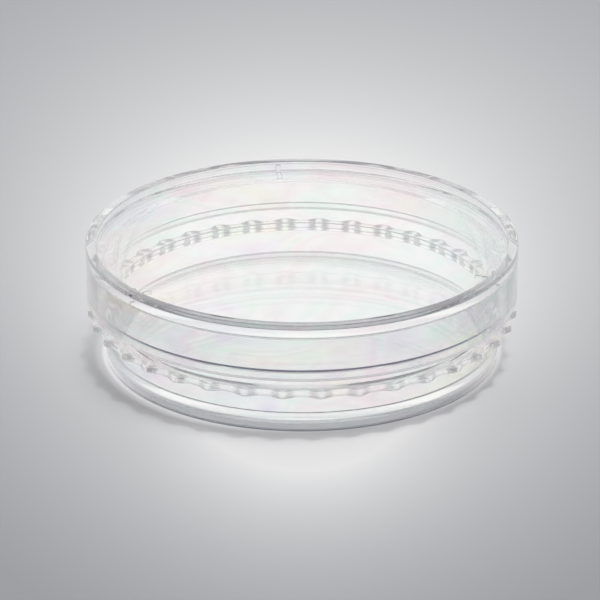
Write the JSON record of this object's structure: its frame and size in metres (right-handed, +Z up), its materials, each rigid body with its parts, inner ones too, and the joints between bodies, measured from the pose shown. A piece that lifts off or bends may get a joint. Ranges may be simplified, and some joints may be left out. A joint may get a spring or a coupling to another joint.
{
  "type": "cell culture dish",
  "caption": "Round clear plastic cell culture dish with a scalloped grip ring around its wall and a loose lid with a stacking rim.",
  "frame": {"origin": "centre of the plane that the dish's foot stands on", "axes": "+Z up along the dish's axis; +X through a hollow between two nubs of the grip ring, to the right in the picture"},
  "size_m": [0.04, 0.04, 0.011],
  "materials": {
    "dish_polystyrene": "clear and glossy",
    "lid_polystyrene": "clear and glossy"
  },
  "bodies": {
    "root": {"dish": "dish_polystyrene", "lid": "lid_polystyrene"}
  },
  "joints": []
}
